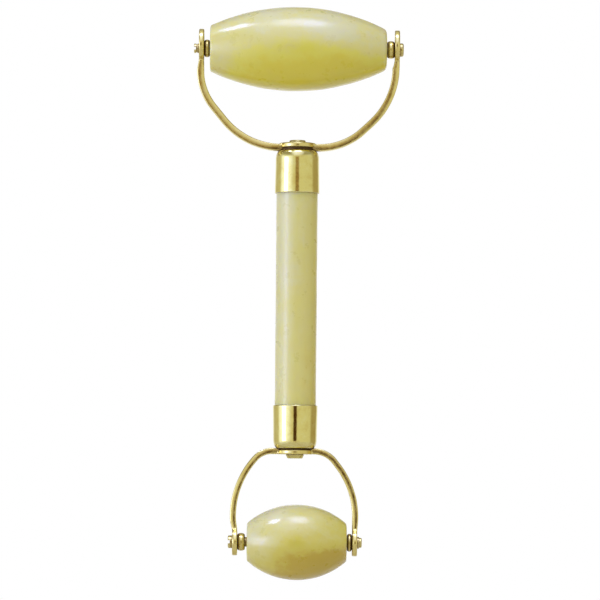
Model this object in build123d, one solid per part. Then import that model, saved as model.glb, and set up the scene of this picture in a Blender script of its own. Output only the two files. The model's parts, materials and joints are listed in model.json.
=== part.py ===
from build123d import *
import os
from math import asin, cos, degrees, radians, sin, sqrt

# Jade face roller: a jade handle with a large roller at one end and a small one at the other.
# Millimetres. The origin is the middle of the handle, on its axis. +Z runs along the handle to the
# large roller, X runs along both roller axles, and Y through the thickness.

# ---- Handle: a jade rod with a drawn brass cup glued over each end
HANDLE_STONE_RADIUS = 5.2
HANDLE_STONE_HALF_LENGTH = 33.9
HANDLE_STONE_CHAMFER = 0.5
CAP_MOUTH_HEIGHT = 26.8
CAP_END_HEIGHT = 37.6
CAP_MOUTH_RADIUS = 5.63
CAP_SHOULDER_RADIUS = 5.48
CAP_SHOULDER_DROP = 2.2
CAP_FLAT_RADIUS = 4.4
CAP_WALL = 0.3
CAP_MOUTH_ROUND = 0.1

# ---- Swivel: a rivet holds each yoke's pad on the end of its cap
GLUE_GAP = 0.05
RUNNING_GAP = 0.05
SHANK_RADIUS = 1.4
PIERCED_RADIUS = SHANK_RADIUS + 0.02
BACKING_RADIUS = 3.4
BACKING_THICKNESS = 0.5
TAIL_RADIUS = 2.1
TAIL_HEIGHT = 0.8
SWIVEL_WASHER_RADIUS = 3.95
RIVET_EDGE_ROUND = 0.22

# ---- Yokes: one flattened wire each, with a round pad in the middle and an ear at each end
WIRE_CORNER = 0.45
PAD_RADIUS = 4.25
PAD_ROUND = 0.25
PAD_HOLE_RADIUS = SHANK_RADIUS + RUNNING_GAP
PAD_ROOT_OFFSET = 3.95
PAD_ROOT_WIDTH = 2.7
EAR_THICKNESS = 1.25
EAR_ROUND = 0.45
EAR_FLAT_MARGIN = 0.1
EAR_ROOT_SHARE = 0.85
# the wire's blends end inside the pad and the ears, this much thinner and this much deeper
BURIED_STEP = 0.12
BURIED_DEPTH = 0.5

# ---- Axles, spacer rings and bushes
AXLE_RADIUS = 1.2
EAR_HOLE_RADIUS = AXLE_RADIUS + 0.02
SPACER_BORE_RADIUS = AXLE_RADIUS + 0.05
SPACER_CROWN_RADIUS = 2.25
SPACER_FACE_RADIUS = 1.9
SPACER_EDGE_ROUND = 0.15
BUSH_BORE_RADIUS = AXLE_RADIUS + RUNNING_GAP
BUSH_OUTER_RADIUS = 1.85
BUSH_LENGTH = 7.0
BUSH_INSET = 0.15
STONE_BORE_RADIUS = BUSH_OUTER_RADIUS + GLUE_GAP
SLOT_DEPTH = 0.5

# ---- What differs between the two ends
# Heights are distances from the origin along the handle. Each yoke side is
# (where the low bend begins, low bend radius, turn of the low bend in degrees, high bend radius,
#  arm offset, ear offset), because the forks are bent by hand and their sides differ a little.
LARGE = {
    "axle_height": 63.45,
    "washer_thickness": 0.7,
    "pad_thickness": 1.2,
    "rivet_base_radius": 2.15,
    "rivet_top_radius": 2.0,
    "rivet_height": 0.65,
    "wire_thickness": 1.75,
    "wire_width": 2.7,
    "wire_height": 38.4,
    "root_end": 5.0,
    "left": (4.1, 18.8, 50.6, 14.7, 24.68, 24.5),
    "right": (5.5, 16.1, 42.9, 19.4, 24.76, 25.05),
    "ear_radius": 4.0,
    "ear_reach": 4.95,
    "ear_neck": 4.4,
    "stone": (-22.3, 22.4),
    "belly_offset": -0.75,
    "belly_radius": 10.65,
    "crown_radius": 50.2,
    "stone_rounds": (0.6, 1.6),
    "spacers": ((-23.82, -22.4), (22.5, 24.37)),
}
SMALL = {
    "axle_height": 61.2,
    "washer_thickness": 0.3,
    "pad_thickness": 1.15,
    "rivet_base_radius": 2.35,
    "rivet_top_radius": 1.9,
    "rivet_height": 1.0,
    "wire_thickness": 1.5,
    "wire_width": 2.4,
    "wire_height": 38.3,
    "root_end": 5.0,
    "left": (5.8, 5.5, 48.1, 21.7, 15.46, 14.95),
    "right": (4.9, 6.4, 52.2, 21.0, 15.31, 15.2),
    "ear_radius": 3.4,
    "ear_reach": 3.4,
    "ear_neck": 4.6,
    "stone": (-11.9, 13.2),
    "belly_offset": 0.65,
    "belly_radius": 9.5,
    "crown_radius": 18.8,
    "stone_rounds": (0.8, 0.9),
    "spacers": ((-14.27, -12.4), (13.28, 14.52)),
}

# Axle ends: lengths and radii past each ear's outer face
BUTTON_RADIUS = 1.7
BUTTON_LENGTH = 1.0
BUTTON_ROUND = 0.45
GROOVED_END_LENGTH = 1.28
GROOVE_FROM, GROOVE_TO, GROOVE_RADIUS = 0.45, 0.7, 1.0
GROOVED_END_SLOT = 0.9
SLOTTED_HEAD_RADIUS = 1.6
SLOTTED_HEAD_LENGTH = 1.1
SLOTTED_HEAD_SLOT = 0.8
SLOTTED_HEAD_ROUND = 0.3
STEP_RADIUS, STEP_LENGTH = 1.5, 0.55
STEPPED_END_RADIUS, STEPPED_END_LENGTH = 1.25, 1.2
SMALL_ROUND = 0.2

# How far a cutter reaches past the faces it opens, how close two places must be to count as the
# same, and the shortest straight run worth making
OVERCUT = 1.0
SAME_PLACE = 1e-6
SHORTEST_RUN = 0.01


def disc(radius, low, high):
    """A cylinder about Z, from height low to height high."""
    return extrude(Pos(0, 0, low) * Circle(radius), high - low)


def rod(radius, start, end):
    """A cylinder along X from start to end."""
    face = Plane(origin=(start, 0, 0), z_dir=(1, 0, 0)) * Circle(radius)
    return extrude(face, end - start)


def outer_edges(solid, x):
    """The largest round edge of a turned solid at distance x along X."""
    edges = solid.edges().filter_by(GeomType.CIRCLE)
    return max((e for e in edges if abs(e.center().X - x) < SAME_PLACE), key=lambda e: e.radius)


def round_edged_disc(radius, thickness, rounding):
    """A disc about Z, centred on the origin, with rounded edges, as coining leaves it."""
    flat = Cylinder(radius, thickness)
    return fillet(flat.edges().filter_by(GeomType.CIRCLE), rounding)


# ---- Handle

def handle_stone():
    """Plain turned rod. Its two ends sit in the caps."""
    stone = Cylinder(HANDLE_STONE_RADIUS, 2 * HANDLE_STONE_HALF_LENGTH)
    return chamfer(stone.edges().filter_by(GeomType.CIRCLE), HANDLE_STONE_CHAMFER)


def cap_profile(mouth_radius, shoulder_radius, flat_radius, mouth_height, shoulder_height, end_height):
    """Half section of a cup: slightly tapered wall, elliptical shoulder and flat end."""
    shoulder = EllipticalCenterArc(
        (flat_radius, shoulder_height),
        shoulder_radius - flat_radius,
        end_height - shoulder_height,
        start_angle=0,
        arc_size=90,
    )
    outline = [
        Line((0, mouth_height), (mouth_radius, mouth_height)),
        Line((mouth_radius, mouth_height), (shoulder_radius, shoulder_height)),
        shoulder,
        Line((flat_radius, end_height), (0, end_height)),
        Line((0, end_height), (0, mouth_height)),
    ]
    return make_face(outline)


def end_cap():
    """Thin drawn cup, open towards the middle of the handle and pierced for the swivel rivet."""
    shoulder_height = CAP_END_HEIGHT - CAP_SHOULDER_DROP
    outside = cap_profile(
        CAP_MOUTH_RADIUS,
        CAP_SHOULDER_RADIUS,
        CAP_FLAT_RADIUS,
        CAP_MOUTH_HEIGHT,
        shoulder_height,
        CAP_END_HEIGHT,
    )
    inside = cap_profile(
        CAP_MOUTH_RADIUS - CAP_WALL,
        HANDLE_STONE_RADIUS + GLUE_GAP,
        CAP_FLAT_RADIUS - CAP_WALL,
        CAP_MOUTH_HEIGHT,
        shoulder_height,
        CAP_END_HEIGHT - CAP_WALL,
    )
    shell = revolve(Plane.XZ * (outside - inside), Axis.Z)
    rim = shell.edges().filter_by(GeomType.CIRCLE).group_by(Axis.Z)[0].sort_by(SortBy.RADIUS)[-1]
    shell = fillet(rim, CAP_MOUTH_ROUND)
    return shell - Pos(0, 0, CAP_END_HEIGHT) * Cylinder(PIERCED_RADIUS, 2 * OVERCUT)


# ---- Swivel, built for the large end and mirrored for the small one

def pad_heights(end):
    """The pad's lower and upper face, and the height of the rivet head's seat."""
    low = CAP_END_HEIGHT + end["washer_thickness"] + RUNNING_GAP
    high = low + end["pad_thickness"]
    return low, high, high + RUNNING_GAP


def swivel_rivet(end):
    """Rivet with a tapered head outside and an upset tail inside the cap."""
    seat = pad_heights(end)[2]
    top = seat + end["rivet_height"]
    tail_top = CAP_END_HEIGHT - CAP_WALL - BACKING_THICKNESS
    tail_low = tail_top - TAIL_HEIGHT
    outline = Polyline(
        (0, tail_low),
        (TAIL_RADIUS, tail_low),
        (TAIL_RADIUS, tail_top),
        (SHANK_RADIUS, tail_top),
        (SHANK_RADIUS, seat),
        (end["rivet_base_radius"], seat),
        (end["rivet_top_radius"], top),
        (0, top),
        close=True,
    )
    rivet = revolve(Plane.XZ * make_face(outline), Axis.Z)
    circles = rivet.edges().filter_by(GeomType.CIRCLE).group_by(Axis.Z)
    return fillet([circles[0][0], circles[-1][0]], RIVET_EDGE_ROUND)


def swivel_washer(end):
    """Spacer between the cap's end and the yoke's pad."""
    high = CAP_END_HEIGHT + end["washer_thickness"]
    return disc(SWIVEL_WASHER_RADIUS, CAP_END_HEIGHT, high) - disc(PIERCED_RADIUS, CAP_END_HEIGHT, high)


def backing_washer():
    """Washer under the rivet's tail, inside the cap."""
    high = CAP_END_HEIGHT - CAP_WALL
    low = high - BACKING_THICKNESS
    return disc(BACKING_RADIUS, low, high) - disc(PIERCED_RADIUS, low, high)


# ---- Yoke

def wire_section(thickness, width, x, height, turn=90.0):
    """The wire's rolled section at (x, height), square to a run that climbs at turn degrees."""
    along = (cos(radians(turn)), 0, sin(radians(turn)))
    section = RectangleRounded(width, thickness, WIRE_CORNER)
    return Plane(origin=(x, 0, height), x_dir=(0, 1, 0), z_dir=along) * section


def yoke_side(end, side):
    """One side of a fork, on +X: from the pad's rim, round two bends and up the arm to the ear."""
    bend_start, low_radius, turn, high_radius, arm, ear = end[side]
    thickness, width = end["wire_thickness"], end["wire_width"]
    base, axle = end["wire_height"], end["axle_height"]
    # where the wire leaves its flattened root, on the low bend
    root_turn = degrees(asin(max(0.0, end["root_end"] - bend_start) / low_radius))
    root_x = bend_start + low_radius * sin(radians(root_turn))
    root_height = base + low_radius * (1 - cos(radians(root_turn)))
    low_end = (
        bend_start + low_radius * sin(radians(turn)),
        base + low_radius * (1 - cos(radians(turn))),
    )
    high_start_x = arm - high_radius * (1 - sin(radians(turn)))
    run = (high_start_x - low_end[0]) / cos(radians(turn))
    high_start = (high_start_x, low_end[1] + run * sin(radians(turn)))
    bend_top = high_start[1] + high_radius * cos(radians(turn))
    neck = axle - end["ear_neck"]
    path = [
        CenterArc((bend_start, base + low_radius), low_radius, root_turn - 90, turn - root_turn),
        Line(low_end, high_start),
        CenterArc((arm - high_radius, bend_top), high_radius, turn - 90, 90 - turn),
    ]
    if neck > bend_top + SHORTEST_RUN:
        path.append(Line((arm, bend_top), (arm, neck)))
    first = wire_section(thickness, width, root_x, root_height, root_turn)
    bent = sweep(first, path=Wire([Plane.XZ * piece for piece in path]))
    pad_low, pad_high, _ = pad_heights(end)
    root_thickness = end["pad_thickness"] - BURIED_STEP
    root_middle = (pad_low + pad_high) / 2
    pad_section = wire_section(root_thickness, PAD_ROOT_WIDTH, PAD_ROOT_OFFSET, root_middle, 0)
    root = loft([pad_section, first])
    return bent + root + yoke_ear(end, arm, ear, max(neck, bend_top))


def yoke_ear(end, arm, ear, neck):
    """The wire's end coined into a round ear, flat where the spacer and the axle's end bear on it."""
    ear_radius = end["ear_radius"]
    centre = end["axle_height"] + end["ear_reach"] - ear_radius
    flat_start = end["axle_height"] - SPACER_CROWN_RADIUS - EAR_FLAT_MARGIN
    chord = 2 * sqrt(ear_radius**2 - (centre - flat_start) ** 2)
    buried_end = flat_start + BURIED_DEPTH
    blend = loft(
        [
            wire_section(end["wire_thickness"], end["wire_width"], arm, neck),
            wire_section(EAR_THICKNESS - BURIED_STEP, EAR_ROOT_SHARE * chord, ear, buried_end),
        ]
    )
    flat = Pos(ear, 0, centre) * Rot(0, 90, 0) * round_edged_disc(ear_radius, EAR_THICKNESS, EAR_ROUND)
    hole = rod(EAR_HOLE_RADIUS, ear - EAR_THICKNESS, ear + EAR_THICKNESS)
    return blend + flat - Pos(0, 0, end["axle_height"]) * hole


def yoke(end):
    """The whole fork: the pad on the swivel and the two sides."""
    pad_low, pad_high, _ = pad_heights(end)
    pad = round_edged_disc(PAD_RADIUS, end["pad_thickness"], PAD_ROUND)
    pad = Pos(0, 0, (pad_low + pad_high) / 2) * pad
    fork = pad + yoke_side(end, "right") + mirror(yoke_side(end, "left"), Plane.YZ)
    return fork - disc(PAD_HOLE_RADIUS, pad_low - OVERCUT, pad_high + OVERCUT)


# ---- Rollers, turned about X and then lifted to the axle's height

def roller_stone(end):
    """Barrel with a circular-arc outline and a plain bore."""
    left, right = end["stone"]
    belly, crown = end["belly_radius"], end["crown_radius"]

    def radius_at(x):
        return belly - crown + sqrt(crown**2 - (x - end["belly_offset"]) ** 2)

    outline = [
        Line((left, 0), (left, radius_at(left))),
        ThreePointArc((left, radius_at(left)), (end["belly_offset"], belly), (right, radius_at(right))),
        Line((right, radius_at(right)), (right, 0)),
        Line((right, 0), (left, 0)),
    ]
    stone = revolve(make_face(outline), Axis.X)
    for x, rounding in zip((left, right), end["stone_rounds"]):
        stone = fillet(outer_edges(stone, x), rounding)
    return stone - rod(STONE_BORE_RADIUS, left - OVERCUT, right + OVERCUT)


def bush(outer_face, inward):
    """Sleeve glued in one end of a stone's bore, set a little under the stone's face."""
    start = outer_face + inward * BUSH_INSET
    end = start + inward * BUSH_LENGTH
    low, high = min(start, end), max(start, end)
    return rod(BUSH_OUTER_RADIUS, low, high) - rod(BUSH_BORE_RADIUS, low, high)


def spacer(low, high):
    """Rounded ring between ear and stone."""
    outline = [
        Line((low, SPACER_BORE_RADIUS), (low, SPACER_FACE_RADIUS)),
        ThreePointArc(
            (low, SPACER_FACE_RADIUS), ((low + high) / 2, SPACER_CROWN_RADIUS), (high, SPACER_FACE_RADIUS)
        ),
        Line((high, SPACER_FACE_RADIUS), (high, SPACER_BORE_RADIUS)),
        Line((high, SPACER_BORE_RADIUS), (low, SPACER_BORE_RADIUS)),
    ]
    bead = revolve(make_face(outline), Axis.X)
    return fillet([outer_edges(bead, low), outer_edges(bead, high)], SPACER_EDGE_ROUND)


def screw_slot(face, inward, width):
    """The cutter for a screwdriver slot in an axle's end face, running through the thickness."""
    centre = face + inward * SLOT_DEPTH / 2
    return Pos(centre, 0, 0) * Box(SLOT_DEPTH, 2 * (SLOTTED_HEAD_RADIUS + OVERCUT), width)


def ear_faces(end):
    """The outer faces of the two ears along X."""
    return -end["left"][-1] - EAR_THICKNESS / 2, end["right"][-1] + EAR_THICKNESS / 2


def large_axle():
    """Rod with a button head on the right and a grooved, slotted end on the left."""
    left, right = ear_faces(LARGE)
    tip = left - GROOVED_END_LENGTH
    shaft = fillet(outer_edges(rod(AXLE_RADIUS, tip, right), tip), SMALL_ROUND)
    groove = rod(AXLE_RADIUS + OVERCUT, left - GROOVE_TO, left - GROOVE_FROM)
    groove -= rod(GROOVE_RADIUS, left - GROOVE_TO, left - GROOVE_FROM)
    button = rod(BUTTON_RADIUS, right, right + BUTTON_LENGTH)
    button = fillet(outer_edges(button, right + BUTTON_LENGTH), BUTTON_ROUND)
    return shaft + button - groove - screw_slot(tip, 1, GROOVED_END_SLOT)


def small_axle():
    """Rod with a slotted head on the left and a stepped, riveted end on the right."""
    left, right = ear_faces(SMALL)
    head_face = left - SLOTTED_HEAD_LENGTH
    head = rod(SLOTTED_HEAD_RADIUS, head_face, left)
    head = fillet(outer_edges(head, head_face), SLOTTED_HEAD_ROUND)
    step = rod(STEP_RADIUS, right, right + STEP_LENGTH)
    step = fillet(outer_edges(step, right + STEP_LENGTH), SMALL_ROUND)
    end = rod(STEPPED_END_RADIUS, right, right + STEPPED_END_LENGTH)
    end = fillet(outer_edges(end, right + STEPPED_END_LENGTH), SLOTTED_HEAD_ROUND)
    return rod(AXLE_RADIUS, left, right) + head + step + end - screw_slot(head_face, 1, SLOTTED_HEAD_SLOT)


def end_nodes(name, end, axle):
    """Every node of one end, built on +Z."""
    lift = Pos(0, 0, end["axle_height"])
    stone_left, stone_right = end["stone"]
    left_spacer, right_spacer = end["spacers"]
    return {
        f"{name}_end_cap": end_cap(),
        f"{name}_swivel_rivet": swivel_rivet(end),
        f"{name}_swivel_washer": swivel_washer(end),
        f"{name}_backing_washer": backing_washer(),
        f"{name}_yoke": yoke(end),
        f"{name}_axle": lift * axle,
        f"{name}_left_spacer": lift * spacer(*left_spacer),
        f"{name}_right_spacer": lift * spacer(*right_spacer),
        f"{name}_roller_stone": lift * roller_stone(end),
        f"{name}_left_bush": lift * bush(stone_left, 1),
        f"{name}_right_bush": lift * bush(stone_right, -1),
    }


nodes = {"handle_stone": handle_stone()}
nodes.update(end_nodes("large", LARGE, large_axle()))
for node, shape in end_nodes("small", SMALL, small_axle()).items():
    nodes[node] = mirror(shape, Plane.XY)

os.makedirs("parts", exist_ok=True)
for node, shape in nodes.items():
    export_step(shape, f"parts/{node}.step")
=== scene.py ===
import json
from bisect import bisect_right
from math import acos, asin, atan2, cos, hypot, pi, radians, sin, sqrt, tan

import bmesh
import bpy
from mathutils import Matrix, Vector, noise


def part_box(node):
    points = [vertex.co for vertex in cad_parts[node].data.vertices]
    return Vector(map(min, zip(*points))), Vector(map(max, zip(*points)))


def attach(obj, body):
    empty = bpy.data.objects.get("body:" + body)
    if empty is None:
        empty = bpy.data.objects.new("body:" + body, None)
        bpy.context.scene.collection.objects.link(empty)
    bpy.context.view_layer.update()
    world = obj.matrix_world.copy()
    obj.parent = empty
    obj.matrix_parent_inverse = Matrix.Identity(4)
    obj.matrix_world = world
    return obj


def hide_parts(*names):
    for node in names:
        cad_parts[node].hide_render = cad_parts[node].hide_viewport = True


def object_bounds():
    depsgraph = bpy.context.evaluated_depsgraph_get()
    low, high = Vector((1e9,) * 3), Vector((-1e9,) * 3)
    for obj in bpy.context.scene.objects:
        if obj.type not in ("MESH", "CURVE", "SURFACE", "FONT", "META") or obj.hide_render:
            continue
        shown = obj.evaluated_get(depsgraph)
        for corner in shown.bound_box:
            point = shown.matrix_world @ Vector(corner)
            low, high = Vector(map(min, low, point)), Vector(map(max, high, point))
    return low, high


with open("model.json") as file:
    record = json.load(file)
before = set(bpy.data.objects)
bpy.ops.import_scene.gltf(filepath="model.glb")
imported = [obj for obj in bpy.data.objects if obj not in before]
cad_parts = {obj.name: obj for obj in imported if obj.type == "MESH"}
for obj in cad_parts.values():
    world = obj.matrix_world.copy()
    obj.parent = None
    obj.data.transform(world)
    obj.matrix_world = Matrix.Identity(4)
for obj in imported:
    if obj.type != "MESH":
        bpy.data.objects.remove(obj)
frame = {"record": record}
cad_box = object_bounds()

# Jade face roller. Shapes are worked out in millimetres, in the frame's own axes, and every mesh is
# written in metres. +Z runs along the handle to the large roller, X along the axles, Y through.
MM = 0.001

RECORD = frame["record"]
BODY_OF = {node: body for body, nodes in RECORD["behaviour"]["bodies"].items() for node in nodes}

# How finely round things are made
TURNED_SEGMENTS = 96
STONE_SEGMENTS = 160
ROUND_STEPS = 6
SMOOTH_ANGLE = radians(32)
# the far side of a rounded edge, where its wear has faded out, and the wear where its arc begins
WEAR_FADE = 0.22
ARC_END_WEAR = 0.4
# what a boolean leaves behind, in metres: points this close together and slivers this thin
DOUBLED = 1e-7
SLIVER = 5e-7


def low(node):
    """Lowest corner of a CAD node, in millimetres."""
    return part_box(node)[0] / MM


def high(node):
    """Highest corner of a CAD node, in millimetres."""
    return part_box(node)[1] / MM


def smoothstep(edge0, edge1, x):
    t = min(1.0, max(0.0, (x - edge0) / (edge1 - edge0)))
    return t * t * (3 - 2 * t)


def lerp(a, b, t):
    return a + (b - a) * t


# ---- Outlines for turned pieces: lists of (along, radius, wear)

def rounded(corners, closed):
    """Corners are (along, radius, rounding). Each rounding becomes an arc, worn on its crest."""
    count = len(corners)
    points = []
    for i, (a, r, rounding) in enumerate(corners):
        here = Vector((a, r))
        if rounding <= 0 or (not closed and i in (0, count - 1)):
            points.append((a, r, 0.0))
            continue
        before = Vector(corners[i - 1][:2]) - here
        after = Vector(corners[(i + 1) % count][:2]) - here
        u, v = before.normalized(), after.normalized()
        half = acos(max(-1.0, min(1.0, u.dot(v)))) / 2
        reach = rounding / tan(half)
        centre = here + (u + v).normalized() * (rounding / sin(half))
        start, end = here + u * reach, here + v * reach
        if reach + WEAR_FADE < before.length / 2:
            fade = here + u * (reach + WEAR_FADE)
            points.append((fade.x, fade.y, 0.0))
        from_centre, to_centre = start - centre, end - centre
        sweep = pi - 2 * half
        turn = 1.0 if from_centre.x * to_centre.y - from_centre.y * to_centre.x > 0 else -1.0
        for k in range(ROUND_STEPS + 1):
            t = k / ROUND_STEPS
            c, s = cos(turn * sweep * t), sin(turn * sweep * t)
            x = centre.x + from_centre.x * c - from_centre.y * s
            y = centre.y + from_centre.x * s + from_centre.y * c
            points.append((x, y, lerp(ARC_END_WEAR, 1.0, sin(pi * t))))
        if reach + WEAR_FADE < after.length / 2:
            fade = here + v * (reach + WEAR_FADE)
            points.append((fade.x, fade.y, 0.0))
    return points


def refined(points, closed, step):
    """The same outline with no stretch longer than step."""
    result = []
    count = len(points)
    last = count if closed else count - 1
    for i in range(last):
        p, q = points[i], points[(i + 1) % count]
        pieces = max(1, round(hypot(q[0] - p[0], q[1] - p[1]) / step))
        for k in range(pieces):
            t = k / pieces
            result.append(tuple(lerp(a, b, t) for a, b in zip(p, q)))
    if not closed:
        result.append(points[-1])
    return result


def turned(points, closed, axis, centre, segments=TURNED_SEGMENTS, wobble=None):
    """A mesh turned from an outline about X or Z through centre. Open outlines end on the axis.

    wobble(place, radius) gives how far a point moves outward.
    """
    bm = bmesh.new()
    wear = bm.verts.layers.float.new("wear")
    rings = []
    for a, r, worn in points:
        if r < 1e-6:
            spots = [(a, 0.0, 0.0)]
        else:
            spots = [(a, r, 2 * pi * k / segments) for k in range(segments)]
        ring = []
        for along, radius, angle in spots:
            if axis == "X":
                place = Vector((along, -radius * sin(angle), radius * cos(angle)))
            else:
                place = Vector((radius * cos(angle), radius * sin(angle), along))
            if wobble and radius > 0:
                outward = place - (Vector((along, 0, 0)) if axis == "X" else Vector((0, 0, along)))
                place += outward.normalized() * wobble(place, radius)
            vert = bm.verts.new((place + centre) * MM)
            vert[wear] = worn
            ring.append(vert)
        rings.append(ring)
    count = len(rings)
    for i in range(count if closed else count - 1):
        first, second = rings[i], rings[(i + 1) % count]
        for k in range(segments):
            n = (k + 1) % segments
            if len(first) == 1:
                bm.faces.new((first[0], second[k], second[n]))
            elif len(second) == 1:
                bm.faces.new((first[n], first[k], second[0]))
            else:
                bm.faces.new((first[n], first[k], second[k], second[n]))
    return bm


def cut(bm, cutters):
    """Takes the cutters, closed bmeshes, out of bm with an exact boolean."""
    target = bpy.data.meshes.new("cut_target")
    bm.to_mesh(target)
    bm.free()
    work = bpy.data.objects.new("cut_target", target)
    bpy.context.scene.collection.objects.link(work)
    tools = []
    for cutter in cutters:
        mesh = bpy.data.meshes.new("cutter")
        bmesh.ops.recalc_face_normals(cutter, faces=cutter.faces)
        cutter.to_mesh(mesh)
        cutter.free()
        tool = bpy.data.objects.new("cutter", mesh)
        bpy.context.scene.collection.objects.link(tool)
        tools.append(tool)
        modifier = work.modifiers.new("cut", "BOOLEAN")
        modifier.operation = "DIFFERENCE"
        modifier.solver = "EXACT"
        modifier.object = tool
    bpy.context.view_layer.update()
    evaluated = work.evaluated_get(bpy.context.evaluated_depsgraph_get())
    result = bmesh.new()
    result.from_mesh(evaluated.to_mesh())
    for made in [work, *tools]:
        mesh = made.data
        bpy.data.objects.remove(made)
        bpy.data.meshes.remove(mesh)
    bmesh.ops.remove_doubles(result, verts=result.verts, dist=DOUBLED)
    many_sided = [face for face in result.faces if len(face.verts) > 4]
    bmesh.ops.triangulate(result, faces=many_sided)
    bmesh.ops.dissolve_degenerate(result, edges=result.edges, dist=SLIVER)
    return result


def piece(node, bm, material, angle=SMOOTH_ANGLE):
    """Makes the finished piece that stands for one CAD node."""
    bmesh.ops.recalc_face_normals(bm, faces=bm.faces)
    mesh = bpy.data.meshes.new(f"{node}_detail")
    bm.to_mesh(mesh)
    bm.free()
    mesh.shade_smooth()
    mesh.set_sharp_from_angle(angle=angle)
    mesh.materials.append(material)
    made = bpy.data.objects.new(f"{node}_detail", mesh)
    bpy.context.scene.collection.objects.link(made)
    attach(made, BODY_OF[node])
    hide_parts(node)


# ---- Node helpers

class Nodes:
    """Short names for building a node tree."""

    def __init__(self, tree):
        self.tree = tree

    def add(self, kind, settings=None, **inputs):
        node = self.tree.nodes.new(kind)
        for key, value in (settings or {}).items():
            setattr(node, key, value)
        for key, value in inputs.items():
            self.set(node, key.replace("_", " "), value)
        return node

    def set(self, node, key, value):
        socket = node.inputs[int(key)] if key.isdigit() else node.inputs[key]
        if isinstance(value, bpy.types.NodeSocket):
            self.tree.links.new(value, socket)
        else:
            socket.default_value = value

    def math(self, operation, a, b=None, clamp=False):
        node = self.tree.nodes.new("ShaderNodeMath")
        node.operation = operation
        node.use_clamp = clamp
        for i, value in enumerate((a, b)):
            if value is not None:
                self.set(node, str(i), value)
        return node.outputs[0]

    def vector(self, operation, a, b=None):
        node = self.tree.nodes.new("ShaderNodeVectorMath")
        node.operation = operation
        for i, value in enumerate((a, b)):
            if value is not None:
                self.set(node, str(i), value)
        return node.outputs["Value" if operation in ("DOT_PRODUCT", "LENGTH") else "Vector"]

    def smooth(self, value, low_end, high_end, out_low=0.0, out_high=1.0):
        node = self.tree.nodes.new("ShaderNodeMapRange")
        node.interpolation_type = "SMOOTHSTEP"
        for i, number in enumerate((value, low_end, high_end, out_low, out_high)):
            self.set(node, str(i), number)
        return node.outputs[0]

    def mix(self, factor, a, b, blend="MIX"):
        node = self.tree.nodes.new("ShaderNodeMix")
        node.data_type = "RGBA"
        node.blend_type = blend
        self.set(node, "0", factor)
        self.set(node, "6", a)
        self.set(node, "7", b)
        return node.outputs[2]

    def noise(self, place, scale, detail=3.0, roughness=0.5, distortion=0.0, kind="FBM"):
        node = self.tree.nodes.new("ShaderNodeTexNoise")
        node.noise_type = kind
        self.set(node, "Vector", place)
        self.set(node, "Scale", scale)
        self.set(node, "Detail", detail)
        self.set(node, "Roughness", roughness)
        self.set(node, "Distortion", distortion)
        return node.outputs[0]

    def ramp(self, value, stops, interpolation="EASE"):
        node = self.tree.nodes.new("ShaderNodeValToRGB")
        node.color_ramp.interpolation = interpolation
        elements = node.color_ramp.elements
        while len(elements) > 1:
            elements.remove(elements[-1])
        for i, (position, colour) in enumerate(stops):
            element = elements[0] if i == 0 else elements.new(position)
            element.position = position
            element.color = (*colour, 1.0)
        self.set(node, "0", value)
        return node.outputs[0]

    def bump(self, height, strength, distance, normal=None):
        node = self.tree.nodes.new("ShaderNodeBump")
        self.set(node, "Height", height)
        node.inputs["Strength"].default_value = strength
        node.inputs["Distance"].default_value = distance
        if normal is not None:
            self.set(node, "Normal", normal)
        return node.outputs[0]


def new_material(name):
    material = bpy.data.materials.new(name)
    material.use_nodes = True
    tree = material.node_tree
    tree.nodes.clear()
    nodes = Nodes(tree)
    shader = tree.nodes.new("ShaderNodeBsdfPrincipled")
    output = tree.nodes.new("ShaderNodeOutputMaterial")
    tree.links.new(shader.outputs[0], output.inputs[0])
    return material, nodes, shader


def object_mm(nodes):
    """Object coordinates in millimetres, so that texture scales read as real sizes."""
    place = nodes.add("ShaderNodeTexCoord").outputs["Object"]
    scaled = nodes.tree.nodes.new("ShaderNodeVectorMath")
    scaled.operation = "SCALE"
    nodes.set(scaled, "0", place)
    scaled.inputs["Scale"].default_value = 1 / MM
    return scaled.outputs["Vector"]


# ---- Jade: pale cream clouds in yellow-green stone, translucent, waxed and polished
CREAM = (0.73, 0.695, 0.345)
BUTTER = (0.735, 0.675, 0.215)
HONEY_GREEN = (0.745, 0.685, 0.090)
OLIVE = (0.725, 0.63, 0.047)
TEA = (0.69, 0.605, 0.085)
PEAT = (0.59, 0.44, 0.020)
STRAW = (0.72, 0.62, 0.15)
BARK = (0.62, 0.48, 0.085)
PALE_TONES = (CREAM, BUTTER, HONEY_GREEN, OLIVE)
ROD_TONES = (CREAM, BUTTER, STRAW, BARK)
DEEP_TONES = (CREAM, BUTTER, TEA, PEAT)
# where the four tones stand between the palest and the darkest
TONE_STOPS = (0.0, 0.36, 0.74, 1.0)
MOTTLING = 0.38
# clouds are wider than they are high, and deepest through the stone
CLOUD_SHAPE = (1.0, 0.6, 1.4)


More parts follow.
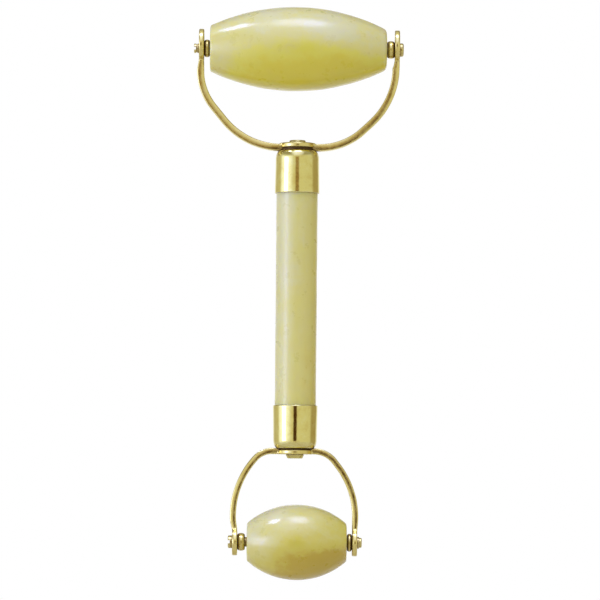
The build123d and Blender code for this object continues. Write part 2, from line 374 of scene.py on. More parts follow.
def jade(name, centre, shade_pull, offset, shift, tones, clouds=(), lay=(1.0, 1.0, 1.0), wax=0.70, swirl=1.0):
    """A piece of jade. Its tone is offset at centre and drifts darker towards the side that the third
    argument points to: painted shade, downward on the rollers and to the right on the handle, away from the
    lamps.

    shift picks another part of the noise, so that no two stones are alike. Each of clouds is (middle from
    centre, reach, how much paler, or darker if negative). lay stretches the veins: small numbers run long.
    wax is how fully the polished coat covers the stone, swirl how strongly its own clouds vary.
    """
    material, n, shader = new_material(name)
    place = object_mm(n)
    local = n.vector("SUBTRACT", place, centre)
    moved = n.vector("ADD", place, shift)

    swirls = n.noise(moved, 0.085, 6.0, 0.62, 0.9)
    # painted shade: the tone darkens steadily towards one side, away from the lamps
    shade_drift = n.vector("DOT_PRODUCT", local, shade_pull)
    cloudy = n.math("MULTIPLY", n.math("SUBTRACT", swirls, 0.5), swirl)
    tone = n.math("ADD", n.math("ADD", shade_drift, offset), cloudy)
    for middle, reach, lift in clouds:
        from_middle = n.vector("SUBTRACT", local, middle)
        away = n.vector("LENGTH", n.vector("MULTIPLY", from_middle, CLOUD_SHAPE))
        tone = n.math("SUBTRACT", tone, n.smooth(away, 0.0, reach, lift, 0.0))
    laid = n.vector("MULTIPLY", moved, lay)
    mottle = n.noise(laid, 0.6, 4.0, 0.6, 0.4)
    tone = n.math("ADD", tone, n.math("MULTIPLY", n.math("SUBTRACT", mottle, 0.5), MOTTLING))
    colour = n.ramp(tone, list(zip(TONE_STOPS, tones)))

    # thin milky veins that wander through the stone
    warp = n.noise(laid, 0.12, 2.0, 0.5)
    warped = n.add("ShaderNodeCombineXYZ", None, X=warp, Y=warp, Z=warp).outputs[0]
    vein_place = n.vector("ADD", laid, n.vector("MULTIPLY", warped, (9.0, 6.0, 7.0)))
    veins = n.noise(vein_place, 0.16, 4.0, 0.55, 0.0, "RIDGED_MULTIFRACTAL")
    vein_mask = n.smooth(veins, 0.95, 1.35, 0.0, 0.26)
    colour = n.mix(vein_mask, colour, (0.76, 0.75, 0.50, 1.0))

    # small rusty and dark specks, sparse
    specks = n.noise(moved, 1.9, 2.0, 0.6)
    speck_mask = n.smooth(specks, 0.70, 0.80, 0.0, 0.03)
    colour = n.mix(speck_mask, colour, (0.42, 0.31, 0.08, 1.0))

    # worn, slightly matter rims
    wear = n.add("ShaderNodeAttribute", {"attribute_name": "wear"}).outputs["Fac"]
    worn = n.math("MULTIPLY", wear, n.smooth(n.noise(moved, 1.2, 3.0), 0.35, 0.65), clamp=True)
    colour = n.mix(n.math("MULTIPLY", worn, 0.45), colour, (0.76, 0.74, 0.48, 1.0))
    n.set(shader, "Base Color", colour)

    polish = n.noise(moved, 0.35, 4.0, 0.6)
    roughness = n.math("ADD", n.smooth(polish, 0.3, 0.7, 0.26, 0.40), n.math("MULTIPLY", worn, 0.12))
    n.set(shader, "Roughness", roughness)
    shader.inputs["Subsurface Weight"].default_value = 0.85
    shader.inputs["Subsurface Radius"].default_value = (1.0, 0.85, 0.32)
    shader.inputs["Subsurface Scale"].default_value = 0.0026
    shader.inputs["IOR"].default_value = 1.54
    shader.inputs["Coat Weight"].default_value = wax
    shader.inputs["Coat Roughness"].default_value = 0.15
    shader.inputs["Coat IOR"].default_value = 1.55

    waves = n.bump(n.noise(moved, 0.22, 2.0, 0.5), 0.25, 0.00022)
    grain = n.bump(n.noise(moved, 3.2, 3.0, 0.6), 0.10, 0.00003, waves)
    n.set(shader, "Normal", grain)
    return material


# ---- Gold-plated brass
BRIGHT_GOLD = ((0.76, 0.64, 0.21), (0.82, 0.73, 0.26), (0.84, 0.77, 0.32))
WARM_GOLD = ((0.78, 0.635, 0.21), (0.84, 0.715, 0.26), (0.86, 0.755, 0.32))
# darker, browner gold tones for the axles and spacers: painted shade for the dark room these small fittings
# reflect
SHADE_DARKENED_GOLD = ((0.60, 0.47, 0.14), (0.72, 0.60, 0.20), (0.80, 0.70, 0.28))


def gold(name, lay, shift, base_roughness, tones=BRIGHT_GOLD, crevice_shade_reach=0.0028, smudging=0.10):
    """Plate over brass. lay stretches the fine polishing marks: small numbers run along that axis.

    The argument after tones is how far, in metres, the painted brown shade spreads out of a crevice.
    smudging is how much duller than base_roughness the smudges are.
    """
    material, n, shader = new_material(name)
    place = n.vector("ADD", object_mm(n), shift)

    patches = n.noise(place, 0.45, 4.0, 0.6, 0.3)
    colour = n.ramp(patches, list(zip((0.30, 0.50, 0.70), tones)))
    stains = n.noise(place, 1.3, 3.0, 0.65)
    stain_mask = n.smooth(stains, 0.60, 0.74, 0.0, 0.35)
    colour = n.mix(stain_mask, colour, (0.58, 0.42, 0.13, 1.0))

    # painted shade: crevices, found by ambient occlusion, are darkened to brown; edges are rubbed pale
    hollow = n.add("ShaderNodeAmbientOcclusion", {"samples": 6}, Distance=crevice_shade_reach).outputs["AO"]
    painted_crevice_shade = n.smooth(hollow, 0.42, 0.97, 0.92, 0.0)
    colour = n.mix(painted_crevice_shade, colour, (0.24, 0.13, 0.04, 1.0))
    wear = n.add("ShaderNodeAttribute", {"attribute_name": "wear"}).outputs["Fac"]
    rubbed = n.math("MULTIPLY", wear, n.smooth(n.noise(place, 2.4, 3.0, 0.6), 0.32, 0.62), clamp=True)
    colour = n.mix(n.math("MULTIPLY", rubbed, 0.5), colour, (0.90, 0.85, 0.52, 1.0))
    n.set(shader, "Base Color", colour)

    marks = n.noise(n.vector("MULTIPLY", place, lay), 1.0, 4.0, 0.65)
    smudges = n.noise(place, 0.8, 3.0, 0.55)
    roughness = n.math(
        "ADD",
        n.smooth(smudges, 0.3, 0.7, base_roughness, base_roughness + smudging),
        n.smooth(marks, 0.45, 0.75, 0.0, 0.05),
    )
    # the crevices under the painted shade are also made duller
    roughness = n.math("ADD", roughness, n.math("MULTIPLY", painted_crevice_shade, 0.25))
    n.set(shader, "Roughness", roughness)
    shader.inputs["Metallic"].default_value = 1.0

    dents = n.bump(n.noise(place, 0.55, 2.0, 0.5), 0.20, 0.00010)
    scored = n.bump(marks, 0.12, 0.000012, dents)
    n.set(shader, "Normal", scored)
    return material


def brown_brass(name):
    """Brass darkened nearly to black, for the washers between the caps and the yokes: painted shade, a dark
    part in the gap under each pad.
    """
    material, n, shader = new_material(name)
    place = object_mm(n)
    patches = n.noise(place, 1.1, 4.0, 0.6, 0.4)
    # near-black browns: painted shade for the gap between cap and pad
    colour = n.ramp(
        patches,
        [(0.32, (0.050, 0.026, 0.008)), (0.52, (0.085, 0.045, 0.013)), (0.72, (0.15, 0.085, 0.026))],
    )
    wear = n.add("ShaderNodeAttribute", {"attribute_name": "wear"}).outputs["Fac"]
    colour = n.mix(n.math("MULTIPLY", wear, 0.25), colour, (0.26, 0.16, 0.05, 1.0))
    n.set(shader, "Base Color", colour)
    n.set(shader, "Roughness", n.smooth(patches, 0.3, 0.7, 0.34, 0.55))
    shader.inputs["Metallic"].default_value = 0.85
    rings = n.noise(n.vector("MULTIPLY", place, (0.5, 0.5, 12.0)), 1.0, 3.0, 0.6)
    n.set(shader, "Normal", n.bump(rings, 0.2, 0.00002))
    return material


# ---- The pieces, from the frame's sizes
# how high each axle lies: the small one is below the origin
LARGE_AXLE_HEIGHT = (low("large_roller_stone").z + high("large_roller_stone").z) / 2
SMALL_AXLE_HEIGHT = (low("small_roller_stone").z + high("small_roller_stone").z) / 2

# a gold's last number, where given, is how far its painted crevice shade reaches
GOLD_TURNED_Z = gold("gold_turned_z", (0.35, 0.35, 14.0), (0.0, 0.0, 0.0), 0.06, smudging=0.05)
# the axles and spacers take the gold tones darkened with painted shade
GOLD_TURNED_X = gold("gold_turned_x", (14.0, 0.8, 0.8), (3.1, 7.7, 1.9), 0.14, SHADE_DARKENED_GOLD, 0.0009)
GOLD_DRAWN = gold("gold_drawn", (1.6, 5.0, 1.6), (11.3, 2.1, 5.7), 0.14, WARM_GOLD, 0.0018)
BRASS_BUSH = gold("brass_bush", (9.0, 1.0, 1.0), (5.1, 9.2, 3.3), 0.24)
BRASS_SHADE_DARK = brown_brass("brass_shade_dark")
BRASS_INNER = gold("brass_inner", (1.0, 1.0, 8.0), (8.8, 1.4, 6.2), 0.28)

# each jade's third argument aims its painted shade: darker downward on the rollers, to the right on the
# handle
JADE_LARGE = jade(
    "jade_large",
    (0.0, 0.0, LARGE_AXLE_HEIGHT),
    (0.006, 0.0, -0.056),
    0.625,
    (31.0, 12.0, 5.0),
    PALE_TONES,
    [
        ((9.0, -6.0, 4.5), 9.0, 0.45),
        ((19.0, -5.0, 1.0), 11.0, 0.60),
        ((-21.0, -4.0, -5.0), 10.0, 0.45),
        ((11.5, -9.0, 1.5), 6.5, 0.32),
        ((2.0, -9.0, 4.0), 6.0, 0.22),
    ],
)
JADE_SMALL = jade(
    "jade_small",
    (0.0, 0.0, SMALL_AXLE_HEIGHT),
    (0.022, 0.0, -0.052),
    0.61,
    (3.0, 44.0, 17.0),
    DEEP_TONES,
    [((-9.0, -6.0, 0.0), 9.0, 0.22), ((9.0, -5.0, 1.0), 7.0, 0.25), ((7.5, -5.0, -6.5), 9.0, -0.50)],
    wax=0.90,
)
JADE_HANDLE = jade(
    "jade_handle",
    (0.0, 0.0, 0.0),
    (0.040, 0.0, -0.006),
    0.27,
    (70.0, 8.0, 61.0),
    ROD_TONES,
    lay=(1.0, 1.0, 0.2),
    wax=0.35,
    swirl=0.6,
)


def hand_polish(strength, length):
    """Slight unevenness left by polishing by hand, in millimetres outward from the axis."""

    def wobble(place, _radius):
        long_wave = noise.noise(place / length)
        short_wave = noise.noise(place * 2.7 / length + Vector((7.0, 3.0, 1.0)))
        return strength * (long_wave + 0.35 * short_wave)

    return wobble


# Handle stone
def handle_stone():
    radius = high("handle_stone").x
    end = high("handle_stone").z
    corners = [(-end, 0, 0), (-end, radius, 0.45), (end, radius, 0.45), (end, 0, 0)]
    outline = refined(rounded(corners, False), False, 0.7)
    wobble = hand_polish(0.035, 9.0)
    bm = turned(outline, False, "Z", Vector((0, 0, 0)), STONE_SEGMENTS, wobble)
    piece("handle_stone", bm, JADE_HANDLE)


# Rollers: how far the barrel's belly lies to the right of the origin, the radius of its outline's arc, the
# rounding of its left and right ends, and the polish as (strength, length)
ROLLERS = {
    "large": {"offset": -0.75, "crown": 50.2, "rounds": (0.6, 1.6), "wobble": (0.055, 8.0)},
    "small": {"offset": 0.65, "crown": 18.8, "rounds": (0.8, 0.9), "wobble": (0.045, 6.5)},
}
BORE_RADIUS = 1.9
BORE_ROUND = 0.22
END_STEPS = 12
BARREL_STEP = 0.45


def roller_stone(name, material):
    node = f"{name}_roller_stone"
    shape = ROLLERS[name]
    left, right = low(node).x, high(node).x
    belly = (high(node).z - low(node).z) / 2
    axle = (high(node).z + low(node).z) / 2
    offset, crown = shape["offset"], shape["crown"]
    base = belly - crown

    def end_round(x, inward, rounding):
        """Arc between an end face and the barrel, from the face to the barrel."""
        cx = x + inward * rounding
        cr = base + sqrt((crown - rounding) ** 2 - (cx - offset) ** 2)
        meet = atan2(cr - base, cx - offset)
        start = pi if inward > 0 else 0.0
        arc = []
        for k in range(END_STEPS + 1):
            t = k / END_STEPS
            angle = lerp(start, meet, t)
            worn = sin(pi * (0.15 + 0.7 * t))
            arc.append((cx + rounding * cos(angle), cr + rounding * sin(angle), worn))
        return arc

    left_arc = end_round(left, 1, shape["rounds"][0])
    right_arc = end_round(right, -1, shape["rounds"][1])
    barrel = []
    start = atan2(left_arc[-1][1] - base, left_arc[-1][0] - offset)
    end = atan2(right_arc[-1][1] - base, right_arc[-1][0] - offset)
    count = int((right - left) / BARREL_STEP)
    for k in range(1, count):
        angle = lerp(start, end, k / count)
        worn = 0.25 * max(0.0, 1 - min(k, count - k) / 3)
        barrel.append((offset + crown * cos(angle), base + crown * sin(angle), worn))
    left_face = left_arc[0][1] - WEAR_FADE
    right_face = right_arc[0][1] - WEAR_FADE
    mouths = rounded(
        [
            (right, right_face, 0),
            (right, BORE_RADIUS, BORE_ROUND),
            (left, BORE_RADIUS, BORE_ROUND),
            (left, left_face, 0),
        ],
        False,
    )
    outline = [*left_arc, *barrel, *reversed(right_arc), *mouths]
    outline = refined(outline, True, 1.2)
    even = hand_polish(*shape["wobble"])

    def wobble(place, radius):
        return even(place, radius) * smoothstep(BORE_RADIUS + 0.4, BORE_RADIUS + 2.5, radius)

    bm = turned(outline, True, "X", Vector((0, 0, axle)), STONE_SEGMENTS, wobble)
    piece(node, bm, material)


# Caps: thin drawn cups with a rolled mouth and an elliptical shoulder
CAP_WALL = 0.3
CAP_SEGMENTS = 128
CAP_MOUTH_RUN = 0.75
CAP_MOUTH_FLARE = 0.01
CAP_SKIRT_STEPS = 13
CAP_SHOULDER_STEPS = 18
CAP_INNER_STEPS = 8
CAP_SHOULDER_DROP = 2.2
CAP_FLAT_RADIUS = 4.4
CAP_SHOULDER_RADIUS = 5.48
CAP_INNER_SHOULDER = 5.25
PIERCED_RADIUS = 1.42


def end_cap(name, sign):
    node = f"{name}_end_cap"
    mouth_radius = high(node).x
    mouth, end = sorted((abs(low(node).z), abs(high(node).z)))
    shoulder = end - CAP_SHOULDER_DROP
    inner_end = end - CAP_WALL
    inner_flat = CAP_FLAT_RADIUS - CAP_WALL
    outline = [(mouth, mouth_radius - 0.12, 0.6), (mouth + 0.03, mouth_radius - 0.04, 1.0)]
    outline += [(mouth + 0.09, mouth_radius, 1.0), (mouth + 0.32, mouth_radius - 0.003, 0.35)]
    for k in range(CAP_SKIRT_STEPS):
        t = k / CAP_SKIRT_STEPS
        skirt = lerp(mouth_radius - CAP_MOUTH_FLARE, CAP_SHOULDER_RADIUS, t)
        outline.append((lerp(mouth + CAP_MOUTH_RUN, shoulder, t), skirt, 0.0))
    for k in range(CAP_SHOULDER_STEPS + 1):
        angle = pi / 2 * k / CAP_SHOULDER_STEPS
        along = shoulder + CAP_SHOULDER_DROP * sin(angle)
        worn = 0.45 * smoothstep(0.25, 0.8, sin(2 * angle))
        outline.append((along, lerp(CAP_FLAT_RADIUS, CAP_SHOULDER_RADIUS, cos(angle)), worn))
    outline += [(end, 3.2, 0.0), (end, PIERCED_RADIUS + 0.1, 0.0), (end - 0.1, PIERCED_RADIUS, 0.5)]
    outline.append((inner_end, PIERCED_RADIUS, 0.0))
    for k in range(CAP_INNER_STEPS, -1, -1):
        angle = pi / 2 * k / CAP_INNER_STEPS
        along = lerp(shoulder, inner_end, sin(angle))
        outline.append((along, lerp(inner_flat, CAP_INNER_SHOULDER, cos(angle)), 0.0))
    outline.append((mouth, mouth_radius - CAP_WALL, 0.0))
    outline = [(sign * a, r, w) for a, r, w in outline]
    wobble = hand_polish(0.010, 5.0)

    def outside_only(place, radius):
        return wobble(place, radius) if radius > CAP_SHOULDER_RADIUS - 0.05 else 0.0

    bm = turned(outline, True, "Z", Vector((0, 0, 0)), CAP_SEGMENTS, outside_only)
    piece(node, bm, GOLD_TURNED_Z, radians(40))


# Swivel rivets and washers. A head is (radius at the pad, radius at its top, height).
RIVET_HEADS = {"large": (2.15, 2.0, 0.65), "small": (2.35, 1.9, 1.0)}
SHANK_RADIUS = 1.4
TAIL_RADIUS = 2.1
TAIL_HEIGHT = 0.8
# how far the washers have spread under the rivet's load
WASHER_SPREAD = 0.05


def swivel(name, sign):
    rivet = f"{name}_swivel_rivet"
    base_radius, top_radius, head_height = RIVET_HEADS[name]
    near, far = sorted((abs(low(rivet).z), abs(high(rivet).z)))
    seat = far - head_height
    corners = [
        (near, 0, 0),
        (near, TAIL_RADIUS, 0.22),
        (near + TAIL_HEIGHT, TAIL_RADIUS, 0.08),
        (near + TAIL_HEIGHT, SHANK_RADIUS, 0),
        (seat, SHANK_RADIUS, 0),
        (seat, base_radius, 0.10),
        (far, top_radius, 0.22),
        (far, 0.9, 0),
        (far - 0.05, 0.0, 0),
    ]
    outline = [(sign * a, r, w) for a, r, w in refined(rounded(corners, False), False, 0.5)]
    piece(rivet, turned(outline, False, "Z", Vector((0, 0, 0))), GOLD_TURNED_Z)
    for node, material, slot, rounding in (
        # the swivel washer is painted near-black, as the shade in the gap under the pad
        (f"{name}_swivel_washer", BRASS_SHADE_DARK, "brown_brass", 0.10),
        (f"{name}_backing_washer", BRASS_INNER, "brass", 0.08),
    ):
        a, b = low(node).z, high(node).z
        outer = high(node).x + WASHER_SPREAD
        corners = [(a, PIERCED_RADIUS, 0.05), (a, outer, rounding)]
        corners += [(b, outer, rounding), (b, PIERCED_RADIUS, 0.05)]
        piece(node, turned(rounded(corners, True), True, "Z", Vector((0, 0, 0))), material)


# Yokes. The same bends as the CAD: each side is (where the low bend begins, low bend radius, turn in
# degrees, high bend radius, arm offset, ear offset). root is where the pad's section turns into the wire's,
# ear_reach how far the ear goes past the axle, ear_neck how far before it the wire may start to flatten.
YOKES = {
    "large": {
        "axle": LARGE_AXLE_HEIGHT,
        "pad_middle": 38.95,
        "pad_half": 0.6,
        "wire_half": 0.875,
        "wire_width": 2.7,
        "wire_height": 38.4,
        "root": (3.98, 4.45),
        "left": (4.1, 18.8, 50.6, 14.7, 24.68, 24.5),
        "right": (5.5, 16.1, 42.9, 19.4, 24.76, 25.05),
        "twist": 0.07,
        "ear_radius": 4.0,
        "ear_reach": 4.95,
        "ear_neck": 4.4,
    },
    "small": {
        "axle": -SMALL_AXLE_HEIGHT,
        "pad_middle": 38.525,
        "pad_half": 0.575,
        "wire_half": 0.75,
        "wire_width": 2.4,
        "wire_height": 38.3,
        "root": (3.98, 4.45),
        "left": (5.8, 5.5, 48.1, 21.7, 15.46, 14.95),
        "right": (4.9, 6.4, 52.2, 21.0, 15.31, 15.2),
        "twist": -0.07,
        "ear_radius": 3.4,
        "ear_reach": 3.4,
        "ear_neck": 4.6,
    },
}
PAD_RADIUS = 4.25
PAD_HOLE_RADIUS = 1.45
PUNCH_LENGTH = 3.0
EAR_HALF = 0.625
EAR_HOLE_RADIUS = 1.22
EAR_FLAT_BELOW_AXLE = 2.35
# corner radii of the pad's, the wire's and the ears' edges
PAD_CORNER, WIRE_CORNER, EAR_CORNER = 0.25, 0.28, 0.30
# how far rolled and coined faces stand proud at their middle
FACE_CROWN = 0.030
# how much the front of the level wire looks up
WIRE_LIFT = 0.06
# how far below its neck the wire starts to thin towards the ear
COINING_RUN = 1.5
# how softly the outline of the wire runs into the round pad and ears
FORGED_FILLET = 0.45
# where the wire has fully left the pad, as (from, to) along the strip, and where its unevenness ends,
# as (from, to) before the ear's tip
WIRE_SETTLES = (5.0, 9.0)
UNEVEN_ENDS = (7.0, 11.0)
UNEVENNESS = 0.016
# how finely a path is sampled, how far to each side its direction is read, and the rows' spacing
PATH_STEP = 0.02
NORMAL_REACH = 0.12
WIDE_ROW, CLOSE_ROW = 0.32, 0.1
TIP_ROWS = 18
# steps across half a face, over a side and round a hole
ROW_STEPS = 14
SIDE_STEPS = 5
HOLE_SEGMENTS = 64


def yoke_path(shape, side):
    """Closely spaced points from the pad's middle to the ear's tip, as (x, z, half thickness, corner)."""
    bend, low_radius, turn, high_radius, arm, ear = shape[side]
    base, middle = shape["wire_height"], shape["pad_middle"]
    root_from, root_to = shape["root"]
    turn = radians(turn)
    low_end = (bend + low_radius * sin(turn), base + low_radius * (1 - cos(turn)))
    high_x = arm - high_radius * (1 - sin(turn))
    run = (high_x - low_end[0]) / cos(turn)
    bend_top = low_end[1] + run * sin(turn) + high_radius * cos(turn)
    neck = max(shape["axle"] - shape["ear_neck"], bend_top)
    flat = shape["axle"] - EAR_FLAT_BELOW_AXLE
    tip = shape["axle"] + shape["ear_reach"]
    points = []
    for k in range(int(low_end[0] / PATH_STEP)):
        x = k * PATH_STEP
        curve = base if x <= bend else base + low_radius - sqrt(low_radius**2 - (x - bend) ** 2)
        points.append((x, lerp(middle, curve, smoothstep(root_from, root_to, x))))
    count = int(run / PATH_STEP)
    for k in range(count):
        points.append((low_end[0] + run * cos(turn) * k / count, low_end[1] + run * sin(turn) * k / count))
    count = int(high_radius * (pi / 2 - turn) / PATH_STEP)
    for k in range(count):
        angle = turn - pi / 2 + (pi / 2 - turn) * k / count
        points.append((arm - high_radius + high_radius * cos(angle), bend_top + high_radius * sin(angle)))
    count = int((tip - bend_top) / PATH_STEP)
    for k in range(count + 1):
        z = lerp(bend_top, tip, k / count)
        points.append((lerp(arm, ear, smoothstep(neck - COINING_RUN, flat, z)), z))
    result = []
    for x, z in points:
        drawn = smoothstep(root_from, root_to, x)
        half = lerp(shape["pad_half"], shape["wire_half"], drawn)
        corner = lerp(PAD_CORNER, WIRE_CORNER, drawn)
        if z > bend_top:
            coined = smoothstep(neck - COINING_RUN, flat, z)
            half = lerp(half, EAR_HALF, coined)
            corner = lerp(corner, EAR_CORNER, coined)
        result.append((x, z, half, corner))
    return result


def smooth_max(a, b, softness):
    h = max(softness - abs(a - b), 0.0) / softness
    return max(a, b) + h * h * softness / 4


class Strip:
    """One side of a yoke as a strip: distance along it, and how far inside its outline a spot is."""

    def __init__(self, shape, side):
        self.shape = shape
        self.points = yoke_path(shape, side)
        self.along = [0.0]
        for p, q in zip(self.points, self.points[1:]):
            self.along.append(self.along[-1] + hypot(q[0] - p[0], q[1] - p[1]))
        self.length = self.along[-1]
        self.ear_centre = self.length - shape["ear_radius"]

    def at(self, s):
        """(x, z, half thickness, corner) at s."""
        i = min(max(bisect_right(self.along, s) - 1, 0), len(self.along) - 2)
        span = self.along[i + 1] - self.along[i]
        t = (s - self.along[i]) / span
        return tuple(lerp(a, b, t) for a, b in zip(self.points[i], self.points[i + 1]))

    def normal(self, s):
        """Unit normal in the XZ plane, pointing to the inside of the fork."""
        before = self.at(max(0.0, s - NORMAL_REACH))
        after = self.at(min(self.length, s + NORMAL_REACH))
        dx, dz = after[0] - before[0], after[1] - before[1]
        size = hypot(dx, dz)
        return -dz / size, dx / size

    def inside(self, s, y):
        """Distance in from the outline of the flattened strip, negative outside."""
        pad = PAD_RADIUS - hypot(s, y)
        ear = self.shape["ear_radius"] - hypot(s - self.ear_centre, y)
        if s > self.ear_centre:
            return ear
        wire = self.shape["wire_width"] / 2 - abs(y)
        return smooth_max(smooth_max(wire, pad, FORGED_FILLET), ear, FORGED_FILLET)

    def half_width(self, s):
        """How far out the outline lies at s, found by halving."""
        near, far = 0.0, 2 * PAD_RADIUS
        for _ in range(40):
            middle = (near + far) / 2
            if self.inside(s, middle) > 0:
                near = middle
            else:
                far = middle
        return near

    def row_spots(self):
        """Where the rows of the mesh lie: close together wherever the outline turns sharply."""
        ear_radius = self.shape["ear_radius"]
        root_from, root_to = self.shape["root"]
        spots = []
        s = 0.0
        tip_start = self.ear_centre + 0.5 * ear_radius
        while s < tip_start:
            spots.append(s)
            near_pad = root_from - 0.9 < s < root_to + 0.3
            near_ear = abs(s - (self.ear_centre - ear_radius)) < 1.6
            s += CLOSE_ROW if near_pad or near_ear else WIDE_ROW
        first = acos(0.5)
        spots += [self.ear_centre + ear_radius * cos(first * (1 - k / TIP_ROWS)) for k in range(TIP_ROWS)]
        return spots

    def row(self, s):
        """One section of the strip as a ring of (offset across the strip, y, wear)."""
        _, _, half, corner = self.at(s)
        width = self.half_width(s)
        wall = half - corner
        upper = []
        for j in range(2 * ROW_STEPS + 1):
            y = width * sin(pi / 2 * (j - ROW_STEPS) / ROW_STEPS)
            rim = min(corner, max(0.0, corner - self.inside(s, y)))
            if j in (0, 2 * ROW_STEPS):
                rim = corner
            rise = wall + sqrt(corner * corner - rim * rim)
            crown = FACE_CROWN * max(0.0, 1 - (y / (width + 1e-9)) ** 2)
            upper.append((rise + crown, y, sin(pi * min(1.0, rim / corner)) ** 2))
        side = []
        for k in range(1, SIDE_STEPS):
            across = 1 - 2 * k / SIDE_STEPS
            side.append((wall * across, width + FACE_CROWN * (1 - across * across), 0.0))
        lower = [(-rise, y, worn) for rise, y, worn in reversed(upper)]
        far_side = [(-rise, -y, worn) for rise, y, worn in side]
        return upper + side + lower + far_side


def yoke(name, sign):
    node = f"{name}_yoke"
    shape = YOKES[name]
    bm = bmesh.new()
    wear = bm.verts.layers.float.new("wear")
    upper_count = 2 * ROW_STEPS + 1
    rings = []
    tips = {}
    for side, mirror in (("left", -1), ("right", 1)):
        strip = Strip(shape, side)
        phase = 40.0 if mirror < 0 else 90.0

        def place(s, offset, y, worn):
            x, z, _, _ = strip.at(s)
            nx, nz = strip.normal(s)
            settled = smoothstep(*WIRE_SETTLES, s)
            uneven = UNEVENNESS * noise.noise(Vector((s * 0.35, phase, sign)))
            uneven *= settled * smoothstep(*UNEVEN_ENDS, strip.length - s)
            shift = offset + uneven
            # the drawn wire is a little twisted: its front looks to one side, and up where it runs level
            y += settled * (shape["twist"] * mirror * nx + WIRE_LIFT * sign * nz) * offset
            vert = bm.verts.new(Vector((mirror * (x + nx * shift), y, sign * (z + nz * shift))) * MM)
            vert[wear] = worn
            return vert

        made = []
        for s in strip.row_spots():
            if s > 0.0 or mirror > 0:
                made.append([place(s, *spot) for spot in strip.row(s)])
        _, _, half, corner = strip.at(strip.length)
        wall = half - corner
        tips[side] = [
            place(strip.length, wall * (1 - 2 * k / SIDE_STEPS), 0.0, 1.0 if k in (0, SIDE_STEPS) else 0.2)
            for k in range(SIDE_STEPS + 1)
        ]
        rings = list(reversed(made)) if mirror < 0 else rings + made
    count = len(rings[0])
    for first, second in zip(rings, rings[1:]):
        for j in range(count):
            n = (j + 1) % count
            bm.faces.new((first[j], first[n], second[n], second[j]))
    # the ear's tip: the flat faces come to one point each, the rim between them to a short line
    for ring, tip in ((rings[0], tips["left"]), (rings[-1], tips["right"])):
        upper, rest = ring[:upper_count], ring[upper_count:]
        side, rest = rest[: SIDE_STEPS - 1], rest[SIDE_STEPS - 1 :]
        lower, far_side = rest[:upper_count], rest[upper_count:]
        for j in range(upper_count - 1):
            bm.faces.new((upper[j], upper[j + 1], tip[0]))
            bm.faces.new((lower[j], lower[j + 1], tip[-1]))
        down = [upper[-1], *side, lower[0]]
        up = [upper[0], *reversed(far_side), lower[-1]]
        for k in range(SIDE_STEPS):
            bm.faces.new((down[k], down[k + 1], tip[k + 1], tip[k]))
            bm.faces.new((up[k + 1], up[k], tip[k], tip[k + 1]))
    bmesh.ops.recalc_face_normals(bm, faces=bm.faces)

    axle = Vector((0, 0, sign * shape["axle"]))
    ends = ((0.0, 0.0), (0.0, 1.0), (PUNCH_LENGTH, 1.0), (PUNCH_LENGTH, 0.0))
    hole = [(a, r * PAD_HOLE_RADIUS, 0.0) for a, r in ends]
    pad_start = Vector((0, 0, sign * shape["pad_middle"] - PUNCH_LENGTH / 2))
    cutters = [turned(hole, False, "Z", pad_start, HOLE_SEGMENTS)]
    for x in (-shape["left"][-1], shape["right"][-1]):
        bore = [(a + x - PUNCH_LENGTH / 2, r * EAR_HOLE_RADIUS, 0.0) for a, r in ends]
        cutters.append(turned(bore, False, "X", axle, HOLE_SEGMENTS))
    piece(node, cut(bm, cutters), GOLD_DRAWN, radians(40))


# Axles
AXLE_RADIUS = 1.2
AXLE_STEP = 1.6
SLOT_DEPTH = 0.5
LARGE_SLOT_WIDTH = 0.88
SMALL_SLOT_WIDTH = 0.8
CUTTER_LENGTH = 6.0
CUTTER_OVER = 0.6
GROOVE_RADIUS = 1.0
BUTTON_RADIUS = 1.7
SLOTTED_HEAD_RADIUS = 1.6
COLLAR_RADIUS = 1.5
RIVETED_RADIUS = 1.25


def slot_cutter(face, width, centre):
    """A box with rounded floor corners that cuts a screwdriver slot through a left end face."""
    bm = bmesh.new()
    half = width / 2
    upper = [(-CUTTER_OVER, half), (SLOT_DEPTH - 0.1, half), (SLOT_DEPTH - 0.03, half - 0.03)]
    upper.append((SLOT_DEPTH, half - 0.1))
    outline = [(-CUTTER_OVER, -half), *upper, *((a, -z) for a, z in reversed(upper[1:]))]
    rings = []
    for y in (-CUTTER_LENGTH / 2, CUTTER_LENGTH / 2):
        rings.append([bm.verts.new((Vector((face + a, y, z)) + centre) * MM) for a, z in outline])
    count = len(outline)
    for k in range(count):
        n = (k + 1) % count
        bm.faces.new((rings[0][k], rings[0][n], rings[1][n], rings[1][k]))
    bm.faces.new(rings[0])
    bm.faces.new(list(reversed(rings[1])))
    return bm


def slotted_axle(node, height, corners, slot_width):
    """An axle turned from its corners, with a slot across its left end."""
    centre = Vector((0, 0, height))
    outline = refined(rounded(corners, False), False, AXLE_STEP)
    bm = turned(outline, False, "X", centre)
    bmesh.ops.recalc_face_normals(bm, faces=bm.faces)
    bm = cut(bm, [slot_cutter(corners[0][0], slot_width, centre)])
    piece(node, bm, GOLD_TURNED_X)


def large_axle():
    """Rod with a grooved and slotted left end and a button head on its right."""
    tip, head = low("large_axle").x, high("large_axle").x
    left = -YOKES["large"]["left"][-1] - EAR_HALF
    right = YOKES["large"]["right"][-1] + EAR_HALF
    corners = [
        (tip, 0, 0),
        (tip, AXLE_RADIUS, 0.18),
        (left - 0.7, AXLE_RADIUS, 0.05),
        (left - 0.7, GROOVE_RADIUS, 0.03),
        (left - 0.45, GROOVE_RADIUS, 0.03),
        (left - 0.45, AXLE_RADIUS, 0.05),
        (right, AXLE_RADIUS, 0),
        (right, BUTTON_RADIUS, 0.08),
        (head, BUTTON_RADIUS, 0.45),
        (head, 0.6, 0),
        (head, 0, 0),
    ]
    slotted_axle("large_axle", LARGE_AXLE_HEIGHT, corners, LARGE_SLOT_WIDTH)


